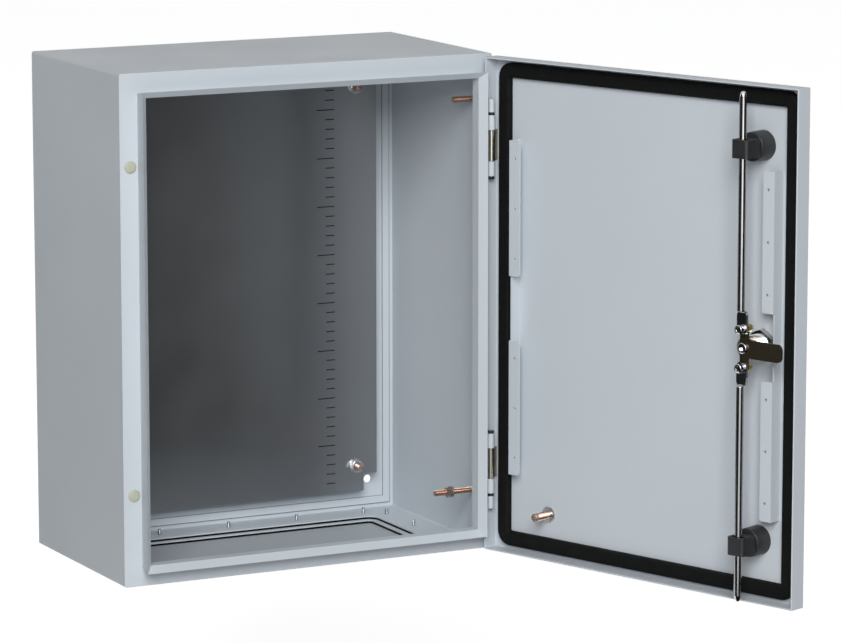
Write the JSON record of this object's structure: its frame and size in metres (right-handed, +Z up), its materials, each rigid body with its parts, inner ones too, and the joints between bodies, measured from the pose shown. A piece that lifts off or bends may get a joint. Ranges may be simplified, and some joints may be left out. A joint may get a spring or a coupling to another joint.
{
  "type": "wall enclosure",
  "caption": "Steel wall enclosure with a hinged door on a rod lock, a foam-sealed rim, a mounting plate and a gland plate in its floor.",
  "frame": {"origin": "centre of the four wall holes, on the outer back face", "axes": "+X to the right and +Z up as seen from the front, +Y into the wall, the door towards -Y"},
  "size_m": [0.5365, 0.6045, 0.5086],
  "materials": {
    "grey_powder_coat": "light grey powder coat, satin",
    "galvanised_plate": "zinc-dipped sheet, matt",
    "zinc_steel": "zinc-plated steel, satin",
    "polished_steel": "bright polished steel",
    "blackened_steel": "dark polished steel",
    "copper_plate": "copper-plated steel",
    "yellow_zinc": "yellow passivated zinc",
    "nickel_zinc": "warm zinc die casting",
    "black_foam": "black polyurethane foam",
    "black_rubber": "black sheet rubber",
    "black_nylon": "moulded black nylon",
    "beige_plastic": "moulded light plastic"
  },
  "bodies": {
    "enclosure": {"body_shell": "grey_powder_coat", "back_panel": "grey_powder_coat", "gland_seal": "black_rubber", "gland_frame": "grey_powder_coat", "cover_seal": "black_rubber", "gland_cover": "grey_powder_coat", "gland_screws": "zinc_steel", "mounting_plate": "galvanised_plate", "plate_studs": "copper_plate", "plate_washers": "zinc_steel", "plate_nuts": "zinc_steel", "wall_stud_upper": "copper_plate", "wall_stud_lower": "copper_plate", "wall_stud_washer": "zinc_steel", "wall_stud_nut": "copper_plate", "flange_plugs": "beige_plastic", "hinge_bracket_upper": "grey_powder_coat", "hinge_bracket_lower": "grey_powder_coat", "hinge_screws": "zinc_steel", "hinge_pin_upper": "polished_steel", "hinge_pin_lower": "polished_steel", "hinge_rings": "black_nylon", "hinge_cap_upper": "grey_powder_coat", "hinge_cap_lower": "grey_powder_coat"},
    "door": {"door_panel": "grey_powder_coat", "door_foam": "black_foam", "door_leaf_upper": "nickel_zinc", "door_leaf_lower": "nickel_zinc", "lock_strip": "grey_powder_coat", "hinge_strip": "grey_powder_coat", "door_stud": "copper_plate", "door_stud_washer": "zinc_steel", "guide_upper": "black_nylon", "guide_lower": "black_nylon", "guide_studs": "copper_plate", "lock_barrel": "zinc_steel", "bezel_seal": "black_rubber", "lock_nut": "polished_steel"},
    "lock_cam_body": {"lock_core": "zinc_steel", "lock_cam": "blackened_steel", "cam_screw": "polished_steel", "rod_pins": "polished_steel", "pin_cap_nuts": "yellow_zinc"},
    "upper_rod_body": {"rod_upper": "polished_steel"},
    "lower_rod_body": {"rod_lower": "polished_steel"}
  },
  "joints": [
    {"name": "door_hinge", "type": "hinge", "parent": "enclosure", "child": "door", "pos_m": [0.1911, -0.2363, 0], "axis": [0, 0, 1], "range_deg": [-110, 20]},
    {"name": "lock_turn", "type": "hinge", "parent": "door", "child": "lock_cam_body", "pos_m": [0.28816, -0.55939, 0], "axis": [-0.9397, -0.342, 0], "range_deg": [0, 90]},
    {"name": "upper_rod_swing", "type": "hinge", "parent": "lock_cam_body", "child": "upper_rod_body", "pos_m": [0.28552, -0.56035, 0.0185], "axis": [-0.9397, -0.342, 0], "range_deg": [-96.5, 0]},
    {"name": "lower_rod_swing", "type": "hinge", "parent": "lock_cam_body", "child": "lower_rod_body", "pos_m": [0.28552, -0.56035, -0.0185], "axis": [-0.9397, -0.342, 0], "range_deg": [-96.5, 0]}
  ],
  "couplings": [
    {"joint": "upper_rod_swing", "follows": "lock_turn", "ratio": -1.0711},
    {"joint": "lower_rod_swing", "follows": "lock_turn", "ratio": -1.0711}
  ]
}
